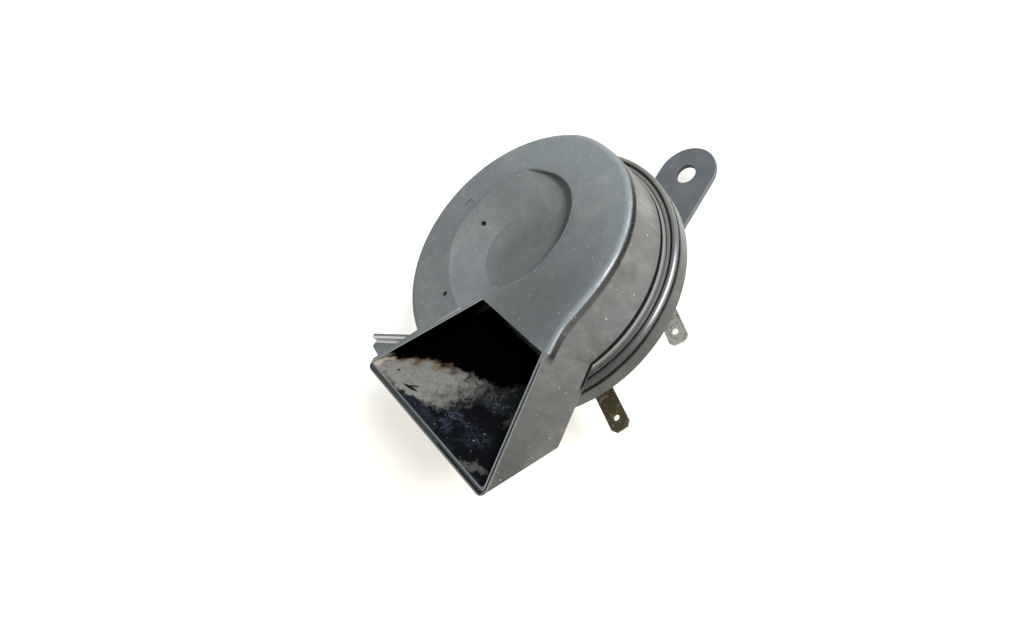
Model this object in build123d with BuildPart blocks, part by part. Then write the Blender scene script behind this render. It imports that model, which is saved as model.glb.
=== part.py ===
import os
from math import atan2, cos, degrees, dist, hypot, radians, sin, sqrt

from build123d import *

os.makedirs("parts", exist_ok=True)

# Car horn with a snail trumpet. Millimetres.
# Z runs along the horn's axis towards the front of the trumpet, Y along the fixing
# strip, and the origin is the middle of the strip's fixing hole, on its rear face.

# ---- overall sizes ----
front_height = 53.0  # rear face of the fixing strip to the front of the trumpet
strip_reach = 63.0  # fixing hole to the horn's axis
trumpet_radius = 42.4  # round part of the trumpet, at its front
rim_radius = 45.3  # rolled rim of the steel housing
drum_radius = 22.5  # rear drum, round the coil
cup_radius = drum_radius + 9.5  # housing between drum and rim
clocking = -12.6  # turn of the trumpet about its axis, from the strip

# ---- fits ----
magnet_gap = 0.9  # armature to core, at rest
guide_gap = 0.35  # armature to the parts round it
drop_fit = 0.1  # parts dropped over or into each other, a side
thread_gap = 0.05  # adjusting screw in its bush, a side

# ---- sheet and wall thicknesses ----
housing_sheet = 1.2
shell_wall = 2.2
lip_wall = 1.7
inner_lip_wall = 1.0  # between the mouth and the recess
diaphragm_sheet = 0.4
gasket_thick = 0.8
blade_thick = 0.8

# ---- fixing strip and stud ----
strip_thick = 1.6
strip_width = 22.4
strip_hole_radius = 3.6
stud_radius = 4.0

# ---- levels, worked up from the strip ----
nut_height = 7.4
drum_bottom = strip_thick + nut_height
drum_inside = drum_bottom + housing_sheet
step_level = 18.5  # rear face of the step between drum and cup
step_inside = step_level + housing_sheet
rim_bottom = 30.0
rim_inside = rim_bottom + housing_sheet
lip_top = 39.0
lip_under = lip_top - housing_sheet
diaphragm_level = rim_inside + gasket_thick
base_under = diaphragm_level + diaphragm_sheet + gasket_thick
seam_level = front_height - 13.2  # foot of the trumpet shell

axis_at = (0, -strip_reach, 0)
horn = Plane(
    origin=axis_at,
    x_dir=(cos(radians(clocking)), sin(radians(clocking)), 0),
    z_dir=(0, 0, 1),
)


def polar(radius, angle):
    return (radius * cos(radians(angle)), radius * sin(radians(angle)))


def angle_of(point):
    return degrees(atan2(point[1], point[0]))


def toward_axis(point, inset):
    size = hypot(*point)
    return (point[0] * (1 - inset / size), point[1] * (1 - inset / size))


def pulled_in(before, corner, after, gap_before, gap_after):
    """a corner of a clockwise outline, moved in from the side before it and the side after it"""
    one = Vector(*corner) - Vector(*before)
    two = Vector(*after) - Vector(*corner)
    one, two = one.normalized(), two.normalized()
    side_one = Vector(one.Y, -one.X) * gap_before
    side_two = Vector(two.Y, -two.X) * gap_after
    cross = one.X * two.Y - one.Y * two.X
    step = side_two - side_one
    along = (step.X * two.Y - step.Y * two.X) / cross
    moved = Vector(*corner) + side_one + one * along
    return (moved.X, moved.Y)


def on_circle(outside, inside, radius):
    """where the line from one point in to another crosses a circle about the axis"""
    low, high = 0.0, 1.0
    for _ in range(60):
        mid = (low + high) / 2
        x = outside[0] + (inside[0] - outside[0]) * mid
        y = outside[1] + (inside[1] - outside[1]) * mid
        if hypot(x, y) > radius:
            low = mid
        else:
            high = mid
    return (x, y)


def line(start, end):
    return Edge.make_line(Vector(*start), Vector(*end))


def arc(radius, first, last, centre=(0, 0)):
    middle = (first + last) / 2
    points = [Vector(*polar(radius, angle)) + Vector(*centre) for angle in (first, middle, last)]
    return Edge.make_three_point_arc(*points)


def at_level(edges, level):
    return [horn.offset(level).location * edge for edge in edges]


def between(lower, upper):
    """solid with straight-ruled walls from one closed outline to another"""
    walls = [Face.make_surface_from_curves(a, b) for a, b in zip(lower, upper)]
    return Solid(Shell([*walls, Face(Wire(lower)), Face(Wire(upper))]))


def part_way(start, end, share):
    return (start[0] + (end[0] - start[0]) * share, start[1] + (end[1] - start[1]) * share)


def corner_arc(before, corner, after, cut):
    """arc that rounds a corner, from a cut's length before it to the same length after it"""
    first = part_way(corner, before, cut / dist(corner, before))
    last = part_way(corner, after, cut / dist(corner, after))
    chord = dist(first, last) / 2
    depth = sqrt(cut**2 - chord**2)
    inset = (cut**2 - cut * chord) / depth
    middle = part_way(corner, part_way(first, last, 0.5), inset / depth)
    return Edge.make_three_point_arc(Vector(*first), Vector(*middle), Vector(*last))


def polygon(corners, cuts=(0, 0, 0, 0)):
    """closed outline of four sides, with an arc at each corner that is cut back"""
    edges = []
    for here in range(4):
        before, corner, after = corners[here - 1], corners[here], corners[(here + 1) % 4]
        if cuts[here]:
            edges.append(corner_arc(before, corner, after, cuts[here]))
        side = dist(corner, after)
        start = part_way(corner, after, cuts[here] / side)
        end = part_way(after, corner, cuts[(here + 1) % 4] / side)
        edges.append(line(start, end))
    return edges


def turned(points):
    """a piece turned about the horn's axis, from its half section in radius and height"""
    with BuildPart() as piece:
        with BuildSketch(Plane(origin=axis_at, x_dir=(1, 0, 0), z_dir=(0, -1, 0))):
            with BuildLine():
                Polyline(*points, close=True)
            make_face()
        revolve(axis=Axis(axis_at, (0, 0, 1)), revolution_arc=360)
    return piece.part


# ================= trumpet shell =================
base_radius = 41.4  # foot of the round wall
front_round = 2.2
arc_end = 112.0  # the round outline stops here and the waist begins
waist = [
    (-1.0, 41.3), (9.5, 39.1), (19.0, 33.5), (26.2, 25.6), (30.7, 15.6), (32.5, 5.0), (32.7, -6.0),
]
mouth_front_outer = (35.6, -16.8)
mouth_front_inner = (1.6, -18.0)
mouth_back_outer = (52.4, -56.2)
mouth_back_inner = (-18.9, -59.4)
wall_foot = polar(base_radius, -15.0)
ramp_foot_outer = (50.2, -35.4)
ramp_foot_inner = (-17.0, -44.0)
inner_wall_foot = (-13.6, -33.0)
shoulder_angle = -105.0
shoulder_front = polar(trumpet_radius, shoulder_angle)
shoulder_foot = on_circle(ramp_foot_inner, inner_wall_foot, base_radius)
front_centre = (0.1, 0.9)  # the round front sits a little off the axis, away from the mouth
body_share = 0.85  # part of the mouth's length that the round body's walls cover
outer_corner_cut = 3.6  # where the rounding of the lip's corners starts
inner_corner_cut = 4.2
opening_cut = 2.0
mouth_run = Vector(*mouth_back_outer) - Vector(*mouth_front_outer)


def waist_curve(radius, inset):
    start = polar(radius, arc_end)
    start = (start[0] + front_centre[0], start[1] + front_centre[1])
    lead = Vector(sin(radians(arc_end)), -cos(radians(arc_end)))
    points = [start, *[toward_axis(point, inset) for point in waist]]
    points.append(toward_axis(mouth_front_outer, inset))
    return Edge.make_spline([Vector(*point) for point in points], tangents=[lead, mouth_run])


shoulder_front = (shoulder_front[0] + front_centre[0], shoulder_front[1] + front_centre[1])
# the round body ends short of the mouth's rounded lip
short_front_outer = part_way(mouth_front_outer, mouth_back_outer, body_share)
short_front_inner = part_way(shoulder_front, mouth_back_inner, body_share)
short_foot_outer = part_way(wall_foot, ramp_foot_outer, body_share)
short_foot_inner = part_way(shoulder_foot, ramp_foot_inner, body_share)
front_outline = [
    arc(trumpet_radius, shoulder_angle, arc_end - 360, front_centre),
    waist_curve(trumpet_radius, 0),
    line(mouth_front_outer, short_front_outer),
    line(short_front_outer, short_front_inner),
    line(short_front_inner, shoulder_front),
]
foot_outline = [
    arc(base_radius, angle_of(shoulder_foot), arc_end - 360),
    arc(base_radius, arc_end, angle_of(wall_foot)),
    line(wall_foot, short_foot_outer),
    line(short_foot_outer, short_foot_inner),
    line(short_foot_inner, shoulder_foot),
]
# mouth on its own, with square edges: the rounding of the front stops where it starts
mouth_outline = [mouth_front_outer, mouth_back_outer, mouth_back_inner, mouth_front_inner]
mouth_foot = [wall_foot, ramp_foot_outer, ramp_foot_inner, inner_wall_foot]
wall_share = dist(wall_foot, ramp_foot_outer) / dist(mouth_front_outer, mouth_back_outer)
lip_cuts = (0, outer_corner_cut, inner_corner_cut, 0)
foot_cuts = (0, outer_corner_cut * wall_share, inner_corner_cut / 4, 0)

# opening: inside faces of the mouth, at its floor and above the front
mouth_floor = seam_level + shell_wall
over_front = front_height + 2.0
open_front = [
    (33.9, -17.3),
    pulled_in(mouth_front_outer, mouth_back_outer, mouth_back_inner, lip_wall, lip_wall),
    pulled_in(mouth_back_outer, mouth_back_inner, mouth_front_inner, lip_wall, inner_lip_wall),
    (2.8, -18.0),
]
open_floor = [(38.0, -17.0), (46.0, -34.6), (-13.4, -42.0), (-4.0, -18.7)]
beyond = (over_front - mouth_floor) / (front_height - mouth_floor)
open_over = [
    (low[0] + (high[0] - low[0]) * beyond, low[1] + (high[1] - low[1]) * beyond)
    for low, high in zip(open_floor, open_front)
]

# groove in the front of the lip, from the waist round the outer corner
lip_groove_width = 0.4
lip_groove_depth = 0.35
lip_middle = lip_wall * 0.55
groove_corner = pulled_in(mouth_front_outer, mouth_back_outer, mouth_back_inner, lip_middle, lip_middle)
groove_front = part_way(mouth_front_outer, mouth_front_inner, lip_middle / dist(mouth_front_outer, mouth_front_inner))
groove_back = pulled_in(mouth_back_outer, mouth_back_inner, mouth_front_inner, lip_middle, lip_middle)
groove_start = part_way(groove_corner, groove_front, 0.92)
groove_end = part_way(groove_corner, groove_back, 0.35)
groove_cut = 2.4
lip_groove = [
    line(groove_start, part_way(groove_corner, groove_start, groove_cut / dist(groove_corner, groove_start))),
    corner_arc(groove_start, groove_corner, groove_end, groove_cut),
    line(part_way(groove_corner, groove_end, groove_cut / dist(groove_corner, groove_end)), groove_end),
]

# duct round the axis
duct_top = front_height - shell_wall
duct_inset = 1.6
duct_radius_top = trumpet_radius - shell_wall - 0.2
duct_radius_foot = base_radius - shell_wall
duct_start = polar(duct_radius_top, -107.0)
duct_start = (duct_start[0] + front_centre[0], duct_start[1] + front_centre[1])
duct_outline_top = [
    arc(duct_radius_top, -107.0, arc_end - 360, front_centre),
    waist_curve(duct_radius_top, duct_inset),
    line(toward_axis(mouth_front_outer, duct_inset), (35.5, -19.6)),
    line((35.5, -19.6), (5.0, -19.6)),
    line((5.0, -19.6), (2.0, -15.0)),
    line((2.0, -15.0), (-1.2, -18.5)),
    line((-1.2, -18.5), duct_start),
]
duct_outline_foot = [
    arc(duct_radius_foot, -107.0, arc_end - 360),
    arc(duct_radius_foot, arc_end, -25.0),
    line(polar(duct_radius_foot, -25.0), (33.8, -19.6)),
    line((33.8, -19.6), (5.0, -19.6)),
    line((5.0, -19.6), (2.0, -15.0)),
    line((2.0, -15.0), (-7.4, -18.5)),
    line((-7.4, -18.5), polar(duct_radius_foot, -107.0)),
]

# recess in the front: a shallow dish, walled off by the duct on its mouth side
dish_depth = 5.0
worn_edge = 0.4  # slope along the walled edge of the recess
dish_centre = (-3.0, 1.0)
dish_flat = 14.0
recess_curve = [
    (-28.5, 17.0), (-22.9, 20.6), (-18.0, 23.2), (-12.3, 25.2), (-6.9, 25.7), (-1.4, 24.6),
    (3.5, 21.6), (7.3, 17.0), (9.7, 11.8), (10.8, 6.0), (10.6, 0.0), (9.0, -5.0), (5.9, -10.2),
]
recess_end = (1.9, -16.4)
recess_foot = (-6.0, -32.5)
# radius of the dish's edge by angle: where it reaches past the walled side the dish is cut off deep
dish_edge = [
    (0, 60), (45, 60), (85, 50), (115, 34), (138, 26.8), (153, 26.3), (170, 25.5), (184, 25.4),
    (200, 25.9), (218, 25.0), (240, 24.8), (262, 25.5), (290, 32), (320, 50),
]
small_hole_radius = 0.7
small_holes = [(-22.6, -0.2), (-11.9, -25.0)]
moulding_mark = (-31.8, 2.0)


def dish(flat, edge_scale, flat_level, edge_level):
    points = []
    for angle, reach in dish_edge:
        x, y = polar(reach * edge_scale, angle)
        points.append(Vector(dish_centre[0] + x, dish_centre[1] + y))
    edge = Edge.make_spline(points, periodic=True)
    floor = Edge.make_circle(flat, Plane(origin=(*dish_centre, 0)))
    return between(at_level([floor], flat_level), at_level([edge], edge_level))


def recess_outline(gap):
    """the recess from the front, its walled sides moved out by a gap"""
    around = [recess_curve[0], *recess_curve, recess_end]
    curve = []
    for before, point, after in zip(around, around[1:], around[2:]):
        run = (Vector(*after) - Vector(*before)).normalized()
        curve.append((point[0] - run.Y * gap, point[1] + run.X * gap))
    corner = pulled_in(recess_curve[-1], recess_end, recess_foot, -gap, -gap)
    run = (Vector(*recess_foot) - Vector(*recess_end)).normalized()
    foot = (recess_foot[0] - run.Y * gap, recess_foot[1] + run.X * gap)
    return [
        Edge.make_spline([Vector(*point) for point in curve]),
        line(curve[-1], corner),
        line(corner, foot),
        Edge.make_three_point_arc(Vector(*foot), Vector(-33.0 - gap, -2.0), Vector(*curve[0])),
    ]


def recess_room(low, low_gap, high, high_gap):
    return between(at_level(recess_outline(low_gap), low), at_level(recess_outline(high_gap), high))


ear_points = [(-13.0, -41.0), (-31.8, -53.2), (-31.0, -56.2), (-26.5, -56.6), (-17.0, -58.0)]
ear_level = front_height - 9.7
ear_thick = 1.8
ear_lip = 2.2

with BuildPart() as dish_shell:
    add(dish(dish_flat + 1.6, 1.05, front_height - dish_depth - shell_wall, duct_top + 0.4))
    add(recess_room(duct_top - 12, shell_wall, duct_top + 8, shell_wall), mode=Mode.INTERSECT)

with BuildPart() as dish_pocket:
    add(recess_room(front_height - 9, 0, front_height + 1, 0))
    add(recess_room(front_height - worn_edge, 0, front_height, worn_edge))
    add(dish(dish_flat, 1.0, front_height - dish_depth, front_height), mode=Mode.INTERSECT)

with BuildPart() as trumpet_shell:
    add(between(at_level(foot_outline, seam_level), at_level(front_outline, front_height)))
    rounded = trumpet_shell.faces().sort_by(Axis.Z)[-1].edges()
    waist_edge = rounded.filter_by(GeomType.BSPLINE)
    wall_edge = rounded.filter_by(GeomType.LINE).sort_by(Axis.X)[-1]
    fillet([*waist_edge, wall_edge], front_round)
    mouth_sides = at_level(polygon(mouth_foot, foot_cuts), seam_level)
    add(between(mouth_sides, at_level(polygon(mouth_outline, lip_cuts), front_height)))
    add(
        between(at_level(duct_outline_foot, seam_level - 1), at_level(duct_outline_top, duct_top)),
        mode=Mode.SUBTRACT,
    )
    # partition that makes the duct a spiral
    with BuildSketch(horn.offset(seam_level)):
        with BuildLine():
            Spline(*recess_curve)
            Polyline(recess_curve[-1], recess_end, (-7.5, -17.5))
        trace(line_width=shell_wall)
    extrude(amount=duct_top - seam_level + 0.5)
    add(dish_shell.part)
    opening_foot = at_level(polygon(open_floor, (0, opening_cut / 2, opening_cut / 2, 0)), mouth_floor)
    opening_top = at_level(polygon(open_over, (0, opening_cut, opening_cut, 0)), over_front)
    add(between(opening_foot, opening_top), mode=Mode.SUBTRACT)
    add(dish_pocket.part, mode=Mode.SUBTRACT)
    # groove along the lip
    with BuildSketch(horn.offset(front_height)):
        with BuildLine():
            add(lip_groove)
        trace(line_width=lip_groove_width)
    extrude(amount=-lip_groove_depth, mode=Mode.SUBTRACT)
    # flange on the outside of the mouth
    with BuildSketch(horn.offset(ear_level)):
        with BuildLine():
            Polyline(*ear_points, close=True)
        make_face()
    extrude(amount=ear_thick)
    with BuildSketch(horn.offset(ear_level)):
        with BuildLine():
            Polyline(*ear_points[:2])
        trace(line_width=1.6)
    extrude(amount=ear_thick + ear_lip)
    with Locations(*[horn.offset(front_height) * Pos(*hole) for hole in small_holes]):
        Hole(small_hole_radius, depth=dish_depth + shell_wall + 1)
    with Locations(horn.offset(front_height) * Pos(*moulding_mark)):
        Hole(1.4, depth=0.3)

# ================= trumpet base =================
stack_radius = rim_radius - housing_sheet - 0.3
throat_radius = 8.0
lip_radius = 42.1
lip_gap = 0.2
trumpet_base = turned([
    (throat_radius, base_under + 1.2), (20.0, base_under + 1.2), (23.5, base_under + 4.0),
    (cup_radius + 2.0, base_under + 4.0), (cup_radius + 4.0, base_under), (stack_radius, base_under),
    (stack_radius, lip_under), (lip_radius - lip_gap, lip_under), (lip_radius - lip_gap, seam_level - 0.3),
    (lip_radius - lip_gap - 0.3, seam_level), (throat_radius + 5.0, seam_level), (throat_radius, base_under + 3.6),
])

# ================= housing =================
cup_inside = cup_radius - housing_sheet
bush_outer = 2.8
drum_bore = drum_radius - housing_sheet
breaker_angle = 190.0
adjuster_reach = cup_inside - bush_outer - drop_fit
adjuster_at = polar(adjuster_reach, breaker_angle)
adjuster_radius = 1.75
bush_neck = 2.4
rivet_ring = drum_radius + 4.0
pole_rivet_at = [polar(rivet_ring, 95.0), polar(rivet_ring, 275.0)]
pole_rivet_radius = 1.5
# each blade: middle of its hole, the way it points, its straight length behind the hole and its rivet
blade_ring = rivet_ring + 0.2
blades = [
    ((37.8, 12.8), -24.0, 11.0, polar(blade_ring, 29.1)),
    ((42.4, -18.4), -17.5, 15.0, polar(blade_ring, -27.9)),
]
blade_rivet_at = [rivet for hole, turn, back, rivet in blades]
sleeve_radius = 2.3

with BuildPart() as rear_housing:
    add(turned([
        (stud_radius, drum_bottom), (drum_radius, drum_bottom), (drum_radius, step_level),
        (cup_radius, step_level), (cup_radius, rim_bottom), (rim_radius, rim_bottom),
        (rim_radius, lip_top), (lip_radius, lip_top), (lip_radius, lip_under),
        (rim_radius - housing_sheet, lip_under), (rim_radius - housing_sheet, rim_inside),
        (cup_inside, rim_inside), (cup_inside, step_inside), (drum_bore, step_inside),
        (drum_bore, drum_inside), (stud_radius, drum_inside),
    ]))
    rings = rear_housing.edges().filter_by(GeomType.CIRCLE)
    fillet(rings.filter_by(lambda e: abs(e.radius - rim_radius) < 0.01 and e.center().Z > rim_inside), 1.4)
    rings = rear_housing.edges().filter_by(GeomType.CIRCLE)
    fillet(rings.filter_by(lambda e: abs(e.radius - drum_radius) < 0.01 and e.center().Z < drum_inside), 2.6)
    rings = rear_housing.edges().filter_by(GeomType.CIRCLE)
    fillet(rings.filter_by(lambda e: abs(e.radius - cup_radius) < 0.01 and e.center().Z < step_inside), 2.2)
    rings = rear_housing.edges().filter_by(GeomType.CIRCLE)
    fillet(rings.filter_by(lambda e: abs(e.radius - rim_radius) < 0.01 and e.center().Z < rim_inside), 0.8)
    with Locations(*[horn.offset(step_level) * Pos(*at) for at in blade_rivet_at]):
        Cylinder(sleeve_radius, 6 * housing_sheet, mode=Mode.SUBTRACT)
    with Locations(*[horn.offset(step_level) * Pos(*at) for at in pole_rivet_at]):
        Cylinder(pole_rivet_radius, 6 * housing_sheet, mode=Mode.SUBTRACT)
    with Locations(horn.offset(step_level) * Pos(*adjuster_at)):
        Cylinder(bush_neck, 6 * housing_sheet, mode=Mode.SUBTRACT)

# ================= diaphragm and its gaskets =================
spigot_radius = 3.0
flat_radius = 12.0  # clamped middle of the diaphragm
dish_drop = 1.4  # middle of the diaphragm below its rim
diaphragm_under = diaphragm_level - dish_drop
diaphragm = turned([
    (spigot_radius, diaphragm_under), (flat_radius, diaphragm_under), (cup_radius - 2.0, diaphragm_level),
    (stack_radius, diaphragm_level), (stack_radius, diaphragm_level + diaphragm_sheet),
    (cup_radius - 2.1, diaphragm_level + diaphragm_sheet), (flat_radius - 0.1, diaphragm_under + diaphragm_sheet),
    (spigot_radius, diaphragm_under + diaphragm_sheet),
])
rear_gasket = turned([
    (cup_radius + 1.5, rim_inside), (stack_radius, rim_inside),
    (stack_radius, diaphragm_level), (cup_radius + 1.5, diaphragm_level),
])
front_gasket = turned([
    (cup_radius + 4.5, diaphragm_level + diaphragm_sheet), (stack_radius, diaphragm_level + diaphragm_sheet),
    (stack_radius, base_under), (cup_radius + 4.5, base_under),
])

# ================= magnet =================
core_radius = 8.0
core_top = 16.6
bobbin_top = step_inside
pole_plate_thick = 1.6
pole_plate_radius = drum_radius + 0.7
shank_radius = 7.0
shank_bottom = core_top + magnet_gap
with BuildPart() as pole_core_stud:
    add(turned([
        (0, -10.5), (stud_radius - 0.7, -10.5), (stud_radius, -9.8), (stud_radius, drum_inside),
        (core_radius, drum_inside), (core_radius, core_top - 0.4), (core_radius - 0.4, core_top), (0, core_top),
    ]))
coil_bobbin = turned([
    (core_radius + drop_fit, drum_inside), (drum_bore - 2 * drop_fit, drum_inside),
    (drum_bore - 2 * drop_fit, drum_inside + 1.0), (core_radius + 1.1, drum_inside + 1.0),
    (core_radius + 1.1, bobbin_top - 1.0), (drum_bore - 2 * drop_fit, bobbin_top - 1.0),
    (drum_bore - 2 * drop_fit, bobbin_top), (core_radius + drop_fit, bobbin_top),
])
coil_winding = turned([
    (core_radius + 1.1, drum_inside + 1.0), (drum_bore - 1.1, drum_inside + 1.0),
    (drum_bore - 0.7, drum_inside + 1.6), (drum_bore - 0.7, bobbin_top - 1.6),
    (drum_bore - 1.1, bobbin_top - 1.0), (core_radius + 1.1, bobbin_top - 1.0),
])
pole_plate_top = step_inside + pole_plate_thick
with BuildPart() as pole_plate:
    with BuildSketch(horn.offset(step_inside)):
        Circle(pole_plate_radius)
        for at in pole_rivet_at:
            with Locations(at):
                Circle(3.6)
        Circle(shank_radius + guide_gap, mode=Mode.SUBTRACT)
        with Locations(*pole_rivet_at):
            Circle(pole_rivet_radius, mode=Mode.SUBTRACT)
    extrude(amount=pole_plate_thick)

# ================= breaker =================
insulator_radius = 3.1
stack_at = polar(20.0, breaker_angle)
contact_at = polar(13.6, breaker_angle)
contact_radius = 1.6
sleeve_bore = 1.3
stack_sleeve_radius = 1.9
lower_insulator_thick = 1.2
leaf_thick = 0.35
contact_height = 1.1
arm_thick = 0.9
upper_insulator_thick = 0.8
leaf_level = pole_plate_top + lower_insulator_thick
leaf_top = leaf_level + leaf_thick
arm_level = leaf_top + 2 * contact_height
arm_top = arm_level + arm_thick
stack_top = arm_top + upper_insulator_thick
arm_plane = Plane(
    origin=axis_at,
    x_dir=(cos(radians(clocking + breaker_angle)), sin(radians(clocking + breaker_angle)), 0),
    z_dir=(0, 0, 1),
)


def washer(level, thick, outer, inner):
    with BuildPart() as ring:
        with BuildSketch(horn.offset(level)):
            with Locations(stack_at):
                Circle(outer)
                Circle(inner, mode=Mode.SUBTRACT)
        extrude(amount=thick)
    return ring.part


def strip(level, thick, first, last, width, tip_width):
    """flat strip along the breaker's line, from one radius out to another"""
    with BuildPart() as piece:
        with BuildSketch(arm_plane.offset(level)):
            with BuildLine():
                Polyline(
                    (first, -tip_width / 2), (first + 5.0, -width / 2), (last - 1.0, -width / 2),
                    (last, -width / 2 + 1.0), (last, width / 2 - 1.0), (last - 1.0, width / 2),
                    (first + 5.0, width / 2), (first, tip_width / 2), close=True,
                )
            make_face()
            with Locations((20.0, 0)):
                Circle(stack_sleeve_radius, mode=Mode.SUBTRACT)
        extrude(amount=thick)
    return piece.part


lower_insulator = washer(pole_plate_top, lower_insulator_thick, insulator_radius, stack_sleeve_radius)
middle_insulator = washer(leaf_top, 2 * contact_height, insulator_radius, stack_sleeve_radius)
upper_insulator = washer(arm_top, upper_insulator_thick, insulator_radius, stack_sleeve_radius)
stack_sleeve = washer(pole_plate_top, stack_top - pole_plate_top, stack_sleeve_radius, sleeve_bore)
contact_leaf = strip(leaf_level, leaf_thick, shank_radius + 0.3, 23.5, 5.6, 4.0)
fixed_arm = strip(arm_level, arm_thick, 11.4, adjuster_reach + 2.1, 5.6, 4.6)


def contact(level):
    with BuildPart() as tip:
        with BuildSketch(horn.offset(level)):
            with Locations(contact_at):
                Circle(contact_radius)
        extrude(amount=contact_height)
    return tip.part


leaf_contact = contact(leaf_top)
arm_contact = contact(leaf_top + contact_height)

with BuildPart() as stack_rivet:
    with Locations(horn.offset(pole_plate_top) * Pos(*stack_at)):
        Cylinder(sleeve_bore, stack_top - pole_plate_top, align=(Align.CENTER, Align.CENTER, Align.MIN))
    with Locations(horn.offset(stack_top) * Pos(*stack_at)):
        Cylinder(2.6, 0.9, align=(Align.CENTER, Align.CENTER, Align.MIN))
    chamfer(stack_rivet.faces().sort_by(Axis.Z)[-1].edges(), 0.4)

with BuildPart() as adjuster_bush:
    with BuildSketch(horn.offset(step_level)):
        with Locations(adjuster_at):
            Circle(bush_neck)
            Circle(adjuster_radius, mode=Mode.SUBTRACT)
    extrude(amount=housing_sheet)
    with BuildSketch(horn.offset(step_inside)):
        with Locations(adjuster_at):
            Circle(bush_outer)
            Circle(adjuster_radius, mode=Mode.SUBTRACT)
    extrude(amount=2.6)

adjuster_bottom = 15.4
with BuildPart() as adjusting_screw:
    with BuildSketch(horn.offset(adjuster_bottom)):
        with Locations(adjuster_at):
            Circle(adjuster_radius - thread_gap)
    extrude(amount=arm_level - adjuster_bottom)
    with BuildSketch(horn.offset(adjuster_bottom)):
        with Locations(adjuster_at):
            Rectangle(6, 0.6)
    extrude(amount=0.9, mode=Mode.SUBTRACT)

# ================= armature =================
button_outer = 9.3
button_height = 1.2
collar_level = leaf_top + button_height
shoulder_radius = 9.5
shoulder_level = diaphragm_under - 2.0
washer_top = diaphragm_under + diaphragm_sheet + 0.9
nut_top = washer_top + 2.6
armature = turned([
    (0, shank_bottom), (shank_radius - 0.3, shank_bottom), (shank_radius, shank_bottom + 0.3),
    (shank_radius, collar_level), (9.0, collar_level), (9.0, collar_level + 1.6), (shank_radius, collar_level + 1.6),
    (shank_radius, shoulder_level), (shoulder_radius, shoulder_level), (shoulder_radius, diaphragm_under),
    (spigot_radius, diaphragm_under), (spigot_radius, nut_top + 0.5), (spigot_radius - 0.4, nut_top + 0.9),
    (0, nut_top + 0.9),
])
breaker_button = turned([
    (shank_radius, leaf_top), (button_outer, leaf_top), (button_outer, collar_level), (shank_radius, collar_level),
])
armature_washer = turned([
    (spigot_radius, diaphragm_under + diaphragm_sheet), (7.0, diaphragm_under + diaphragm_sheet),
    (7.0, washer_top), (spigot_radius, washer_top),
])


def hexagon_nut(level, height, flats, bore):
    with BuildPart() as nut:
        with BuildSketch(horn.offset(level)):
            RegularPolygon(flats / 2, 6, major_radius=False)
            Circle(bore, mode=Mode.SUBTRACT)
        extrude(amount=height)
        with BuildSketch(horn.offset(level)):
            Circle(flats / 2 * 1.12)
        extrude(amount=height, mode=Mode.INTERSECT)
    return nut.part


armature_nut = hexagon_nut(washer_top, nut_top - washer_top, 10.0, spigot_radius)

with BuildPart() as pole_plate_rivets:
    for at in pole_rivet_at:
        with BuildSketch(horn.offset(step_level - 0.9)):
            with Locations(at):
                Circle(2.4)
        extrude(amount=0.9)
        with BuildSketch(horn.offset(step_level)):
            with Locations(at):
                Circle(pole_rivet_radius)
        extrude(amount=pole_plate_top - step_level)
        with BuildSketch(horn.offset(pole_plate_top)):
            with Locations(at):
                Circle(2.4)
        extrude(amount=0.9)

# ================= terminals =================
plate_thick = 1.5
plate_inner = drum_radius + 0.5
plate_outer = drum_radius + 8.1
blade_length_tip = 4.4
blade_width = 6.3
locking_hole_radius = 1.0
blade_level = step_level - plate_thick - blade_thick
with BuildPart() as terminal_plate:
    with BuildSketch(horn.offset(step_level - plate_thick)):
        with BuildLine():
            arc_out = ThreePointArc(*[polar(plate_outer, angle) for angle in (-42, 0, 44)])
            arc_in = ThreePointArc(*[polar(plate_inner, angle) for angle in (-42, 0, 44)])
            Line(arc_out @ 0, arc_in @ 0)
            Line(arc_out @ 1, arc_in @ 1)
        make_face()
        with Locations(*blade_rivet_at):
            Circle(1.4, mode=Mode.SUBTRACT)
    extrude(amount=plate_thick)
    for at in blade_rivet_at:
        with BuildSketch(horn.offset(step_level)):
            with Locations(at):
                Circle(sleeve_radius)
                Circle(1.4, mode=Mode.SUBTRACT)
        extrude(amount=housing_sheet)


def blade(hole, turn, back, rivet):
    """push-on blade: locking hole, chamfered tip, and a root turned in to its rivet"""
    root = (hole[0] - back * cos(radians(turn)), hole[1] - back * sin(radians(turn)))
    with BuildPart() as piece:
        with BuildSketch(Plane(horn * Pos(*hole) * Rot(0, 0, turn)).offset(blade_level)):
            with BuildLine():
                Polyline(
                    (-back, -blade_width / 2), (blade_length_tip - 1.6, -blade_width / 2),
                    (blade_length_tip, -1.9), (blade_length_tip, 1.9),
                    (blade_length_tip - 1.6, blade_width / 2), (-back, blade_width / 2), close=True,
                )
            make_face()
            Circle(locking_hole_radius, mode=Mode.SUBTRACT)
        extrude(amount=blade_thick)
        with BuildSketch(horn.offset(blade_level)):
            with BuildLine():
                Line(root, rivet)
            trace(line_width=blade_width)
            with Locations(root, rivet):
                Circle(blade_width / 2)
        extrude(amount=blade_thick)
        with Locations(horn.offset(blade_level) * Pos(*rivet)):
            Cylinder(1.4, 4 * blade_thick, mode=Mode.SUBTRACT)
    return piece.part


coil_blade = blade(*blades[0])
breaker_blade = blade(*blades[1])

inner_washer_thick = 1.0
with BuildPart() as terminal_washers:
    for at in blade_rivet_at:
        with BuildSketch(horn.offset(step_inside)):
            with Locations(at):
                Circle(3.2)
                Circle(1.4, mode=Mode.SUBTRACT)
        extrude(amount=inner_washer_thick)

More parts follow.
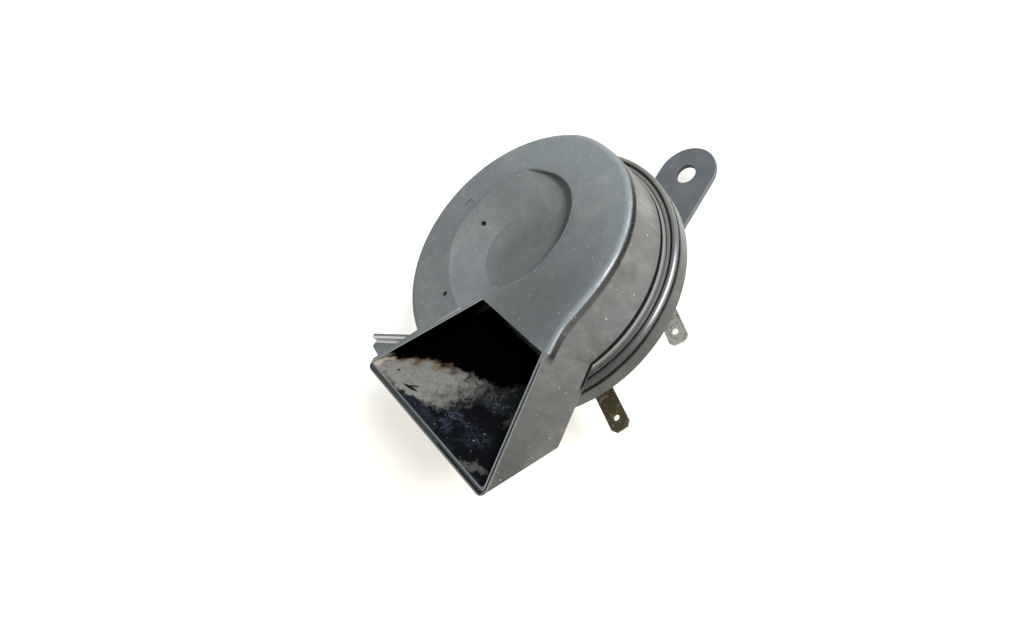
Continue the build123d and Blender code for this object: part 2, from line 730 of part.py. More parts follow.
with BuildPart() as terminal_rivets:
    for at in blade_rivet_at:
        with BuildSketch(horn.offset(blade_level - 0.9)):
            with Locations(at):
                Circle(2.4)
        extrude(amount=0.9)
        with BuildSketch(horn.offset(blade_level)):
            with Locations(at):
                Circle(1.4)
        extrude(amount=step_inside + inner_washer_thick - blade_level)
        with BuildSketch(horn.offset(step_inside + inner_washer_thick)):
            with Locations(at):
                Circle(2.4)
        extrude(amount=0.9)

# ================= fixing strip and its nuts =================
with BuildPart() as fixing_strip:
    with BuildSketch(Plane.XY):
        with Locations((0, -strip_reach / 2)):
            SlotOverall(strip_reach + strip_width, strip_width, rotation=90)
        Circle(strip_hole_radius, mode=Mode.SUBTRACT)
        with Locations((0, -strip_reach)):
            Circle(stud_radius + 0.2, mode=Mode.SUBTRACT)
    extrude(amount=strip_thick)
    fillet(fixing_strip.edges().filter_by(lambda e: e.center().Z > strip_thick - 0.01), 0.35)

washer_thick = 2.1
spring_washer = turned([
    (stud_radius + drop_fit, -washer_thick), (stud_radius + 3.0, -washer_thick),
    (stud_radius + 3.0, 0), (stud_radius + drop_fit, 0),
])
with BuildPart() as stud_nuts:
    add(hexagon_nut(strip_thick, nut_height, 13.0, stud_radius))
    add(hexagon_nut(-washer_thick - nut_height, nut_height, 13.0, stud_radius))

pieces = {
    "trumpet_shell": trumpet_shell.part,
    "trumpet_base": trumpet_base,
    "rear_housing": rear_housing.part,
    "diaphragm": diaphragm,
    "front_gasket": front_gasket,
    "rear_gasket": rear_gasket,
    "pole_core_stud": pole_core_stud.part,
    "coil_bobbin": coil_bobbin,
    "coil_winding": coil_winding,
    "pole_plate": pole_plate.part,
    "pole_plate_rivets": pole_plate_rivets.part,
    "armature": armature,
    "armature_washer": armature_washer,
    "armature_nut": armature_nut,
    "breaker_button": breaker_button,
    "contact_leaf": contact_leaf,
    "leaf_contact": leaf_contact,
    "fixed_arm": fixed_arm,
    "arm_contact": arm_contact,
    "lower_insulator": lower_insulator,
    "middle_insulator": middle_insulator,
    "upper_insulator": upper_insulator,
    "stack_sleeve": stack_sleeve,
    "stack_rivet": stack_rivet.part,
    "adjuster_bush": adjuster_bush.part,
    "adjusting_screw": adjusting_screw.part,
    "terminal_plate": terminal_plate.part,
    "coil_blade": coil_blade,
    "breaker_blade": breaker_blade,
    "terminal_washers": terminal_washers.part,
    "terminal_rivets": terminal_rivets.part,
    "fixing_strip": fixing_strip.part,
    "spring_washer": spring_washer,
    "stud_nuts": stud_nuts.part,
}
for label, piece in pieces.items():
    piece.label = label
    export_step(piece, f"parts/{label}.step")
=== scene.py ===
import bpy
import numpy as np
from mathutils import Matrix, Vector


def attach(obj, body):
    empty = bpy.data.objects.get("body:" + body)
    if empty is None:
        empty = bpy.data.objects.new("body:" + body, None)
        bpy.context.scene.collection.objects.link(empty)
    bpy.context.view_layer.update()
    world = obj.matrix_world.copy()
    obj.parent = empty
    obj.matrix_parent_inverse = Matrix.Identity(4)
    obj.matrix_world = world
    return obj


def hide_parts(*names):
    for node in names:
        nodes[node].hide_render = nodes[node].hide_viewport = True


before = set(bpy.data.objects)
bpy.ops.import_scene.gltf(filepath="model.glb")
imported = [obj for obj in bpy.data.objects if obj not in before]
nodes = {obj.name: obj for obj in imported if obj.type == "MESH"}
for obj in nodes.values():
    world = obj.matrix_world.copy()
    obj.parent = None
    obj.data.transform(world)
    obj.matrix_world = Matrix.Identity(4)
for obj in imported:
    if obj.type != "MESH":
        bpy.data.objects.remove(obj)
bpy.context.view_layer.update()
print("frame loaded:", len(nodes), "nodes")

mm = 0.001
horn = {"reach": 63.0, "clocking": -12.6}  # strip hole to the horn's axis, mm, and the trumpet's turn about it, degrees


def linear(hexColour):  # sRGB hex to linear RGBA
    parts = np.array([int(hexColour[i:i + 2], 16) for i in (1, 3, 5)]) / 255
    parts = np.where(parts <= 0.04045, parts / 12.92, ((parts + 0.055) / 1.055) ** 2.4)
    return (*parts.tolist(), 1.0)


def add(tree, kind, settings=None, links=None):  # one node, its own settings, and its sockets by name or number
    made = tree.nodes.new("ShaderNode" + kind)
    for name, value in (settings or {}).items():
        setattr(made, name, value)
    for name, value in (links or {}).items():
        socket = made.inputs[name]
        if isinstance(value, bpy.types.NodeSocket):
            tree.links.new(value, socket)
        elif isinstance(value, str):
            socket.default_value = linear(value)
        else:
            socket.default_value = value
    return made


def startMaterial(name):
    made = bpy.data.materials.new(name)
    made.use_nodes = True
    made.node_tree.nodes.clear()
    return made, made.node_tree


# the camera stands off the front's right side and looks down at the mouth
camera = {
    "place": (165.84, -106.61, 216.71),  # mm
    "right": (0.6594, 0.5254, -0.5378),
    "up": (-0.3258, 0.8443, 0.4254),
    "lens": 27.42,
}
cameraData = bpy.data.cameras.new("studioCamera")
cameraData.lens = camera["lens"]
cameraData.sensor_width = 36.0
cameraData.sensor_fit = "HORIZONTAL"
cameraData.clip_start = 0.01
cameraData.clip_end = 50.0
cameraObject = bpy.data.objects.new("studioCamera", cameraData)
bpy.context.scene.collection.objects.link(cameraObject)
rightWay = Vector(camera["right"]).normalized()
upWay = Vector(camera["up"]).normalized()
backWay = rightWay.cross(upWay).normalized()
upWay = backWay.cross(rightWay)
turn = Matrix((rightWay, upWay, backWay)).transposed()
cameraObject.matrix_world = Matrix.Translation(Vector(camera["place"]) * mm) @ turn.to_4x4()
bpy.context.scene.camera = cameraObject
print("camera placed")

# plain soft light: a large key lamp, a fainter one behind, and a pale room
light = {
    "room": 0.38,
    "lamps": [  # name, place mm, aim mm, size mm, watts, colour
        ("key", (4500, 1240, 3820), (0, -60, 20), 1300, 320.0, "#fffdf8"),
        ("window", (760, 1260, 1050), (0, -60, 30), 380, 14.0, "#d6e4ff"),
    ],
}
world = bpy.data.worlds.new("paleRoom")
world.use_nodes = True
world.node_tree.nodes.clear()
bpy.context.scene.world = world
tree = world.node_tree
lightPath = add(tree, "LightPath")
roomLight = add(tree, "Background", links={"Color": "#ffffff", "Strength": light["room"]})
roomSeen = add(tree, "Background", links={"Color": "#ffffff", "Strength": 1.0})
sees = add(tree, "Math", {"operation": "MAXIMUM"}, {
    0: lightPath.outputs["Is Camera Ray"], 1: lightPath.outputs["Is Transmission Ray"],
})
roomMix = add(tree, "MixShader", links={0: sees.outputs[0], 1: roomLight.outputs[0], 2: roomSeen.outputs[0]})
add(tree, "OutputWorld", links={"Surface": roomMix.outputs[0]})

for name, place, aim, size, watts, tint in light["lamps"]:
    lampData = bpy.data.lights.new(name, "AREA")
    lampData.shape = "SQUARE"
    lampData.size = size * mm
    lampData.energy = watts
    lampData.color = linear(tint)[:3]
    lamp = bpy.data.objects.new(name, lampData)
    bpy.context.scene.collection.objects.link(lamp)
    lamp.location = Vector(place) * mm
    lamp.rotation_euler = (Vector(place) - Vector(aim)).to_track_quat("Z", "Y").to_euler()
print("light placed")

# a pale floor, lifted to white where it is seen, that keeps the shadow
floor = {"level": -10.6, "reach": 3000.0, "own": "#ecebe4", "lift": "#fffaf0", "glow": 0.5}
reach = floor["reach"] * mm
corners = [(-reach, -reach), (reach, -reach), (reach, reach), (-reach, reach)]
floorMesh = bpy.data.meshes.new("paleFloor")
floorMesh.from_pydata([(x, y, floor["level"] * mm) for x, y in corners], [], [(0, 1, 2, 3)])
floorObject = bpy.data.objects.new("paleFloor", floorMesh)
bpy.context.scene.collection.objects.link(floorObject)
floorPaint, tree = startMaterial("whitePaper")
lightPath = add(tree, "LightPath")
seen = add(tree, "Math", {"operation": "MAXIMUM"}, {
    0: lightPath.outputs["Is Camera Ray"], 1: lightPath.outputs["Is Glossy Ray"],
})
paper = add(tree, "BsdfDiffuse", links={"Color": floor["own"]})
glow = add(tree, "Emission", links={"Color": floor["lift"], "Strength": floor["glow"]})
lifted = add(tree, "AddShader", links={0: paper.outputs[0], 1: glow.outputs[0]})
mixed = add(tree, "MixShader", links={0: seen.outputs[0], 1: paper.outputs[0], 2: lifted.outputs[0]})
add(tree, "OutputMaterial", links={"Surface": mixed.outputs[0]})
floorMesh.materials.append(floorPaint)
print("floor laid")


def roundedProfile(points, steps=6):
    # each corner (radius, height, rounding) becomes an arc: tangent lengths equal rounding over tan(half angle),
    # and its points are the corner moved by them along both sides, blended as sin and cos of the swept angle
    points = np.array(points, float)
    profile = []
    for before, here, after in zip(np.roll(points, 1, 0), points, np.roll(points, -1, 0)):
        one, two = before[:2] - here[:2], after[:2] - here[:2]
        one, two = one / np.linalg.norm(one), two / np.linalg.norm(two)
        half = np.arccos(np.clip(one @ two, -1, 1)) / 2
        if here[2] < 0.01 or half > 1.55:
            profile.append(here[:2][None])
            continue
        middle = here[:2] + (one + two) / np.linalg.norm(one + two) * here[2] / np.sin(half)
        first = here[:2] + one * here[2] / np.tan(half) - middle
        last = here[:2] + two * here[2] / np.tan(half) - middle
        sweep = np.pi - 2 * half
        t = np.linspace(0, 1, steps + 1)[:, None]
        profile.append(middle + (first * np.sin((1 - t) * sweep) + last * np.sin(t * sweep)) / np.sin(sweep))
    return np.concatenate(profile)


def gridObject(name, grid, closeU, closeV):
    # quads between neighbours of a (u, v, 3) grid of points in mm
    rows, columns = grid.shape[:2]
    u = np.arange(rows if closeU else rows - 1)[:, None]
    v = np.arange(columns if closeV else columns - 1)[None, :]
    un, vn = (u + 1) % rows, (v + 1) % columns
    faces = np.stack([u * columns + v, un * columns + v, un * columns + vn, u * columns + vn], -1).reshape(-1, 4)
    mesh = bpy.data.meshes.new(name)
    mesh.vertices.add(rows * columns)
    mesh.vertices.foreach_set("co", (grid.reshape(-1, 3) * mm).ravel())
    mesh.loops.add(faces.size)
    mesh.loops.foreach_set("vertex_index", faces.ravel())
    mesh.polygons.add(len(faces))
    mesh.polygons.foreach_set("loop_start", np.arange(len(faces)) * 4)
    mesh.update(calc_edges=True)
    mesh.shade_smooth()
    made = bpy.data.objects.new(name, mesh)
    bpy.context.scene.collection.objects.link(made)
    return made


def turnedObject(name, profile, turns=240):
    # a closed profile (radius, height) carried round the horn's axis: x = r cos t, y = r sin t - reach, z = height
    angle = np.linspace(0, 2 * np.pi, turns, endpoint=False)[:, None]
    radius, height = profile[:, 0][None], profile[:, 1][None]
    grid = np.stack([radius * np.cos(angle), radius * np.sin(angle) - horn["reach"], height + 0 * angle], -1)
    return gridObject(name, grid, True, True)


# the pressed housing, with its rolled bead, the ledge inside it and the valley between them
housing = {
    "drum": 22.5, "cup": 32.0, "rim": 45.3, "sheet": 1.2, "stud": 4.02,
    "drumFoot": 9.0, "step": 18.53, "flange": 30.0, "bandTop": 35.6, "lipTop": 39.0, "lipInner": 42.1,
    "ledgeTop": 38.75, "ledge": 43.05, "bead": 43.8, "beadFoot": 36.7,
}
h = housing
sheet = h["sheet"]
housingProfile = roundedProfile([
    (h["stud"], h["drumFoot"], 0), (h["drum"], h["drumFoot"], 2.6), (h["drum"], h["step"], 0.6),
    (h["cup"], h["step"], 2.2), (h["cup"], h["flange"], 0.8), (h["rim"], h["flange"], 1.1),
    (h["rim"], h["bandTop"], 0.35), (h["rim"] - 0.7, h["beadFoot"] - 0.5, 0.15),  # groove under the rolled bead
    (h["rim"] - 0.05, h["beadFoot"], 0.75), (h["rim"] - 0.05, h["lipTop"], 0.95), (h["bead"], h["lipTop"], 0.45),
    (h["bead"] - 0.1, h["lipTop"] - 0.75, 0.1), (h["ledge"] + 0.15, h["lipTop"] - 0.8, 0.1),
    (h["ledge"], h["ledgeTop"], 0.2), (h["lipInner"], h["ledgeTop"], 0.25),
    (h["lipInner"], h["lipTop"] - sheet, 0.3), (h["rim"] - 1.5, h["lipTop"] - sheet - 0.25, 0.3),
    (h["rim"] - 1.5, h["flange"] + sheet, 0.4), (h["cup"] - sheet, h["flange"] + sheet, 0.8),
    (h["cup"] - sheet, h["step"] + sheet, 1.0), (h["drum"] - sheet, h["step"] + sheet, 0.6),
    (h["drum"] - sheet, h["drumFoot"] + sheet, 1.4), (h["stud"], h["drumFoot"] + sheet, 0),
])
pressedHousing = turnedObject("pressedHousing", housingProfile)
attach(pressedHousing, "horn")
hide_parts("rear_housing")
print("housing turned:", len(housingProfile), "points in its profile")

# the core's stud, with its thread
stud = {
    "outer": 4.0, "root": 3.38, "pitch": 1.25, "end": -10.5, "top": 10.2, "core": 8.0, "coreTop": 16.6,
    "chamfer": 0.9, "taper": 0.35, "steepness": 2.3, "valley": 0.15,  # of the end, mm, and of the thread's flanks
    "turns": 72, "rowsToPitch": 10, "pole": 0.001,  # points round it, rows to a pitch, and mm at its middle
}
rows = int((stud["top"] - stud["end"]) / stud["pitch"] * stud["rowsToPitch"])
angle = np.linspace(0, 2 * np.pi, stud["turns"], endpoint=False)[:, None]
height = np.linspace(stud["end"], stud["top"], rows)[None, :]
phase = (height / stud["pitch"] - angle / (2 * np.pi)) % 1.0  # a ridge that climbs one pitch in a turn
ridge = np.clip(np.abs(phase - 0.5) * stud["steepness"] - stud["valley"], 0, 1)
lead = np.clip((height - stud["end"]) / stud["chamfer"], 0, 1)
radius = stud["root"] + (stud["outer"] - stud["root"]) * ridge * lead - stud["taper"] * (1 - lead)
height = height + 0 * angle
core = roundedProfile([
    (stud["core"], stud["top"], 0), (stud["core"], stud["coreTop"], 0.4), (stud["pole"], stud["coreTop"], 0),
])
firstColumn = np.ones((stud["turns"], 1))
radius = np.concatenate([firstColumn * stud["pole"], radius, firstColumn * core[None, :, 0]], 1)
height = np.concatenate([firstColumn * stud["end"], height, firstColumn * core[None, :, 1]], 1)
studGrid = np.stack([radius * np.cos(angle), radius * np.sin(angle) - horn["reach"], height], -1)
threadedStud = gridObject("threadedStud", studGrid, True, False)
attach(threadedStud, "horn")
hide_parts("pole_core_stud")
print("stud cut:", rows, "rows")

# masks and coats, shared by all the finishes
ease = {"interpolation_type": "SMOOTHSTEP"}
times = {"operation": "MULTIPLY"}
timesPlus = {"operation": "MULTIPLY_ADD"}
length = {"operation": "LENGTH"}
inColour = {"data_type": "RGBA"}  # a Mix node's colours are inputs 6 and 7, its result is output 2
inNumber = {"data_type": "FLOAT"}  # its numbers are inputs 2 and 3, its result is output 0


def trumpetPlace(tree):
    # mm in the trumpet's own turn: x across the mouth, y away from it, z along the axis
    coords = add(tree, "TexCoord")
    turn = np.radians(-horn["clocking"])
    spot = add(tree, "Mapping", links={
        "Vector": coords.outputs["Object"],
        "Location": (-horn["reach"] * np.sin(turn), horn["reach"] * np.cos(turn), 0),
        "Rotation": (0, 0, turn),
        "Scale": (1000, 1000, 1000),
    }).outputs[0]
    return coords, spot, add(tree, "SeparateXYZ", links={0: spot}).outputs


def aboutAxis(tree, spot):  # the point flattened onto the plane across the axis, and its distance from the axis
    level = add(tree, "VectorMath", times, {0: spot, 1: (1, 1, 0)}).outputs[0]
    return level, add(tree, "VectorMath", length, {0: level}).outputs["Value"]


def span(value, low, high, first, last):  # the sockets of a Map Range node
    return {"Value": value, "From Min": low, "From Max": high, "To Min": first, "To Max": last}


def mask(tree, *steps):
    # the product of its steps: (value, low, high) eases from 0 to 1 between two values, (value, low, high, first,
    # last) from first to last, and a step can also be a mask made before, or a number
    made = None
    for step in steps:
        if isinstance(step, tuple):
            step = add(tree, "MapRange", ease, span(*(*step, 0.0, 1.0)[:5])).outputs[0]
        made = step if made is None else add(tree, "Math", times, {0: made, 1: step}).outputs[0]
    return made


def between(value, low, high, soft=0.12):  # two steps that are both 1 only where a value lies between two others
    return (value, low - soft, low + soft), (value, high - soft, high + soft, 1.0, 0.0)


def anyOf(tree, *masks):  # the largest of several masks
    made = masks[0]
    for other in masks[1:]:
        made = add(tree, "Math", {"operation": "MAXIMUM"}, {0: made, 1: other}).outputs[0]
    return made


def patch(tree, at, middle, reach, turn=0, soft=0.35):
    # 1 inside a turned ellipse and 0 outside: the offset over the half-axes has a length, eased about 1
    offset = add(tree, "Mapping", {"vector_type": "TEXTURE"}, {
        "Vector": at, "Location": (*middle, 0), "Rotation": (0, 0, np.radians(turn)), "Scale": (*reach, 1000),
    }).outputs[0]
    far = add(tree, "VectorMath", length, {0: offset}).outputs["Value"]
    return mask(tree, (far, 1 - soft, 1 + soft, 1.0, 0.0))


def patches(tree, at, places):  # each place is the middle and the half-axes in mm, then the turn and the softness
    return anyOf(tree, *[patch(tree, at, *place) for place in places])


def coated(tree, colour, *coats):  # coats laid over a colour in turn, each (mask, colour) or (mask, colour, share)
    for cover, over, *share in coats:
        if share:
            cover = mask(tree, cover, share[0])
        colour = add(tree, "Mix", inColour, {0: cover, 6: colour, 7: over}).outputs[2]
    return colour


nylon = {
    "front": "#6b7070", "wall": "#6c6b66", "haze": "#96958d", "grimeAndShade": "#0d0f12", "highlightBlue": "#93a0a8",
    "scuffed": "#a9adac", "ledge": "#85867f", "dust": "#cfd2cf", "flangeHighlight": "#c9cbc8",
    "rounding": 2.2, "top": 53.0, "foot": 39.8,  # the front edge's rounding, the front and the shell's foot, mm
    "blotches": 0.07, "grain": 1.5, "streaks": 0.35, "motes": 0.24, "flecks": 0.75,  # how many to a mm
    "smallHoles": [((-22.6, -0.2), (0.8, 0.8)), ((-11.9, -25.0), (0.8, 0.8))],
    "darker": [
        ((19.0, -8.0), (15.0, 11.0), 60, 0.6), ((1.0, 2.0), (12.0, 15.0), 0, 0.5),
        ((22.0, -13.0), (16.0, 8.0), 25, 0.6),
    ],
    "recessMiddle": (-11.59, 4.6, 0), "recessRadius": 22.4,
    "recessRubs": [
        ((10.1, -2.3), (3.4, 0.3), -108), ((7.8, -7.5), (4.0, 0.3), -121),
        ((4.1, -13.2), (4.6, 0.3), -123), ((-2.0, -24.4), (9.6, 0.3), -116),
    ],
    # painted light and shade: from and to in y mm, and how light the moulding is painted at each
    "frontLightFade": (10.0, 40.0, 1.0, 1.5), "wallLightFade": (-56.0, -12.0, 0.2, 0.62), "wallLightLift": (8.0, 30.0, 0.0, 0.36),
    "darkest": 0.78, "speckle": (0.86, 1.14),  # in the darker places, and from grain to grain
    "wallStreaks": (0.8, 1.18), "frontStreaks": (0.94, 1.05), "wallHaze": 0.6, "frontHaze": 0.18,
    "roughness": (0.42, 0.58), "polishedRoughness": 0.27, "ior": 1.52,
    "grainDepth": 0.00005, "blotchDepth": 0.0006,  # metres
}
mouth = {
    "deepShade": "#020202", "settled": "#827f78", "thin": "#1f2224", "rusty": "#69543a", "cream": "#a59c8c",
    "tar": "#08090c", "sheenStreaks": "#41475a", "navy": "#1b2026",
    # directions across the walls and the lip's sides, and how far along them those lie, mm
    "rightWall": (0.8589, 0.3919, 0.3296), "rightWallAt": 39.81,
    "leftWall": (0.8161, -0.3977, -0.4193), "leftWallAt": -12.78,
    "ramp": (0, 0.5367, 1), "rampAt": 18.4,
    "rightLip": (0.9199, 0.3922, 0), "rightLipAt": 26.17,
    "lowLip": (0.0448, -0.999, 0), "lowLipAt": 58.49,
    "leftLip": (-0.896, 0.444, 0), "leftLipAt": -9.43,
    "flange": (-0.545, 0.839, 0), "flangeAt": -28.9,
    "dustLine": (-41.46, 0.37375, -0.014368, 0.000637),  # y where the dust gives way to the painted shade of the deep inside, as a cubic in x
    "levels": (41.7, 52.75),  # of its floor and of the front's underside, mm
    "ragged": 0.25, "raggedReach": (2.2, 2.2, 0), "mottle": 0.5,  # wander of the dirt's edges: how many to a mm, and mm
    "thinDust": ((4.0, -57.6), (26.0, 1.6), 2, 0.5), "creamDust": ((-15.6, -55.0), (4.0, 1.3), 50),
    "tarAcross": (-0.43, 1, 0), "tarLine": (-55.6, -57.4), "tarPool": ((29.5, -43.8), (9.6, 4.4), 14, 0.22),
    "navyLine": (-53.2, -55.4), "wetTurn": 14, "wetSize": (5.5, 0.9, 3.0),
    "wetPatch": ((23.0, -50.2), (13.0, 3.6), 14, 0.5),
    "laterDust": [((41.0, -53.0), (4.4, 0.9), 24, 0.6), ((33.6, -37.4), (1.4, 2.6), 10, 0.6)],
    "cracks": [((1.6, -53.2), (3.0, 0.42), 15), ((1.8, -52.2), (1.6, 0.3), 36), ((-8.2, -52.8), (0.5, 0.35), 24)],
}
# glass-filled nylon, injection moulded in black: satin, gone grey and blotchy in the weather, with pale dust in its
# grain, painted light and shade by place, a dark painted reflection under its rounded edge, the edge itself rubbed
# smooth with a bluish painted highlight, a painted highlight on its flange, painted shade in its gaps, groove and
# holes, and a dirty mouth painted black for the shade deep inside
agedNylon, tree = startMaterial("agedNylon")
coords, spot, axes = trumpetPlace(tree)
across, away, up = axes["X"], axes["Y"], axes["Z"]
level, fromAxis = aboutAxis(tree, spot)
facing = add(tree, "SeparateXYZ", links={0: coords.outputs["Normal"]}).outputs["Z"]
flat = mask(tree, (facing, 0.35, 0.85))  # the front and the other level faces
outside = mask(tree, (fromAxis, 30.0, 31.5))  # clear of the recess
pastMouth = mask(tree, outside, (away, -19.0, -16.0))  # the round part of the edge
roundStart = nylon["top"] - nylon["rounding"]
# the edge: a bluish painted highlight along the top of its rounding, which is also rubbed smoother, and a dark painted
# reflection under it
rubbedAndHighlit = mask(
    tree, *between(facing, 0.6, 0.97, 0.08), (up, roundStart + 0.6, roundStart + 1.0), pastMouth,
    (away, -14.0, 0.0, 0.35, 1.0), (away, 34.0, 22.0, 0.4, 1.0),
)
# painted reflection: a dark line under the rounding, for the dark room the edge reflects there
darkReflectionLine = mask(
    tree, (facing, 0.4, 0.72, 1.0, 0.0), *between(up, roundStart - 0.3, roundStart + 1.5, 0.4), pastMouth,
    (away, 43.0, 32.0),
)
# the recess, rubbed on its step and in short arcs on its lip
recessEdge = mask(tree, (facing, 0.8, 0.93, 1.0, 0.0), (up, 52.35, 52.55), (fromAxis, 29.5, 28.0))
recessRing = add(tree, "VectorMath", {"operation": "DISTANCE"}, {0: level, 1: nylon["recessMiddle"]}).outputs["Value"]
ringRub = between(recessRing, nylon["recessRadius"], nylon["recessRadius"] + 0.55)
recessLip = mask(tree, flat, anyOf(
    tree, mask(tree, *ringRub, (away, -1.0, 1.0), (across, 0.0, 5.0)), patches(tree, spot, nylon["recessRubs"]),
))
foot = nylon["foot"]  # a black line painted as the shade in the gap at the wall's foot, and below it the pale ledge
wallFoot = mask(tree, *between(up, foot + 0.08, foot + 0.95, 0.08), (away, -20.0, -17.0), (away, 42.0, 36.0), outside)
ledge = mask(tree, (up, foot + 0.15, foot - 0.02), outside)

# where the mouth's inside is: between its two walls, over the ramp and under the front
measured = {
    name: add(tree, "VectorMath", {"operation": "DOT_PRODUCT"}, {0: spot, 1: mouth[name]}).outputs["Value"]
    for name in ("rightWall", "leftWall", "ramp", "rightLip", "lowLip", "leftLip", "flange")
}
rampTop = anyOf(tree, mask(tree, (facing, -0.75, -0.6)), mask(tree, (measured["ramp"], 23.0, 25.0)))
behindFront = anyOf(tree, mask(tree, (away, -17.4, -17.9)), mask(tree, (away, -14.0, -15.0), (across, 4.5, 5.5)))
inMouth = mask(
    tree, (measured["rightWall"], mouth["rightWallAt"] + 0.3, mouth["rightWallAt"] + 0.6, 1.0, 0.0),
    (measured["leftWall"], mouth["leftWallAt"] - 0.5, mouth["leftWallAt"] - 0.25),
    *between(up, *mouth["levels"]), behindFront, (measured["ramp"], mouth["rampAt"], mouth["rampAt"] + 0.5), rampTop,
)
onTop = mask(tree, (up, 52.3, 52.6), (away, -16.5, -18.5))  # the lip's upper face

blotch = add(tree, "TexNoise", links={
    "Vector": spot, "Scale": nylon["blotches"], "Detail": 6.0, "Roughness": 0.62, "Distortion": 0.5,
}).outputs["Fac"]  # patches of about 14 mm
grain = add(tree, "TexNoise", links={
    "Vector": spot, "Scale": nylon["grain"], "Detail": 4.0, "Roughness": 0.7,
}).outputs["Fac"]  # 0.7 mm, coarser than the real 0.1 mm so that it shows
streaks = add(tree, "Mapping", links={"Vector": spot, "Scale": (0.9, 0.9, 0.12)})
streak = add(tree, "TexNoise", links={
    "Vector": streaks.outputs[0], "Scale": nylon["streaks"], "Detail": 5.0, "Roughness": 0.6,
}).outputs["Fac"]  # 3 mm wide and drawn out along the axis

# how light or dark the moulding is painted by place, standing for its light and shade: the front fades up towards its
# top, the wall down towards the mouth
frontPaintedLight = mask(
    tree, (away, *nylon["frontLightFade"]), (patches(tree, spot, nylon["darker"]), 0.0, 1.0, 1.0, nylon["darkest"]),
)
wallPaintedLight = add(tree, "MapRange", links=span(away, *nylon["wallLightFade"])).outputs[0]
wallPaintedLight = add(tree, "Math", {"operation": "ADD"}, {
    0: wallPaintedLight, 1: mask(tree, (away, *nylon["wallLightLift"])),
}).outputs[0]
paintedLight = add(tree, "Mix", inNumber, {0: flat, 2: wallPaintedLight, 3: frontPaintedLight}).outputs[0]
speckle = add(tree, "MapRange", links=span(grain, 0.25, 0.75, *nylon["speckle"])).outputs[0]
streakEnds = [
    mask(tree, (flat, 0.0, 1.0, onWall, onFront))
    for onWall, onFront in zip(nylon["wallStreaks"], nylon["frontStreaks"])
]
streaky = add(tree, "MapRange", links=span(streak, 0.3, 0.7, *streakEnds)).outputs[0]
hazeShare = add(tree, "Math", timesPlus, {
    0: flat, 1: nylon["frontHaze"] - nylon["wallHaze"], 2: nylon["wallHaze"],
}).outputs[0]
skinColour = coated(
    tree, nylon["wall"], (flat, nylon["front"]), (mask(tree, (blotch, 0.47, 0.7), hazeShare), nylon["haze"]),
)
skinColour = add(tree, "VectorMath", {"operation": "SCALE"}, {
    0: skinColour, "Scale": mask(tree, paintedLight, speckle, streaky),
}).outputs[0]


def onLip(tree, side, low, high):  # along one side of the lip, between two distances from its outer edge in mm
    return mask(tree, *between(measured[side], mouth[side + "At"] + low, mouth[side + "At"] + high))


# the lip is dark on its low side, its groove is painted dark for its shade and dirt, and its edges are rubbed pale
grooved = mask(tree, onTop, (up, 52.97, 52.9), anyOf(
    tree, onLip(tree, "rightLip", -1.3, -0.55), onLip(tree, "lowLip", -1.3, -0.55),
))
paleEdges = anyOf(
    tree, onLip(tree, "rightLip", -0.42, -0.1), onLip(tree, "rightLip", -1.62, -1.38),
    onLip(tree, "lowLip", -0.4, 0.1), onLip(tree, "leftLip", -1.0, -0.6),
)
# painted highlight: a pale band along the top of the flange
flangeHighlightBand = mask(
    tree, *between(measured["flange"], mouth["flangeAt"], mouth["flangeAt"] + 1.55), (up, 44.4, 45.0),
    (across, -12.0, -14.0),
)
# painted shade: the small holes dark inside
holes = patches(tree, spot, nylon["smallHoles"])
broken = mask(tree, (grain, 0.3, 0.55, 0.65, 1.0))

# pale motes, about one to 4 mm, and finer and fainter flecks
motes = add(tree, "TexVoronoi", links={"Vector": spot, "Scale": nylon["motes"], "Randomness": 1.0}).outputs
flecks = add(tree, "TexVoronoi", links={"Vector": spot, "Scale": nylon["flecks"], "Randomness": 1.0}).outputs
moteChance = add(tree, "SeparateColor", links={0: motes["Color"]}).outputs["Red"]
fleckChance = add(tree, "SeparateColor", links={0: flecks["Color"]}).outputs["Green"]
pale = anyOf(
    tree, mask(tree, (motes["Distance"], 0.04, 0.09, 1.0, 0.0), (moteChance, 0.55, 1.0, 0.0, 0.8)),
    mask(tree, (flecks["Distance"], 0.08, 0.2, 1.0, 0.0), (fleckChance, 0.8, 1.0, 0.0, 0.5)),
)
skinColour = coated(
    tree, skinColour,
    (ledge, nylon["ledge"], 0.8),
    # painted highlight: the bluish band along the top of the rounding
    (rubbedAndHighlit, nylon["highlightBlue"], 0.5),
    (anyOf(tree, recessEdge, recessLip), nylon["scuffed"], 0.6),
    # painted shade in the small holes
    (holes, nylon["grimeAndShade"]),
    # painted highlight on the flange
    (flangeHighlightBand, nylon["flangeHighlight"], 0.95),
    # painted reflection: the dark line under the rounding
    (mask(tree, darkReflectionLine, broken), nylon["grimeAndShade"], 0.9),
    # painted shade in the gap at the wall's foot
    (mask(tree, wallFoot, (grain, 0.3, 0.55, 0.85, 1.0)), nylon["grimeAndShade"]),
    (mask(tree, onTop, onLip(tree, "lowLip", -1.75, 0.1)), nylon["grimeAndShade"], 0.82),
    # painted shade and dirt in the lip's groove
    (grooved, nylon["grimeAndShade"], 0.95),
    (mask(tree, onTop, paleEdges, broken), nylon["scuffed"], 0.42),
    (pale, nylon["dust"]),
)

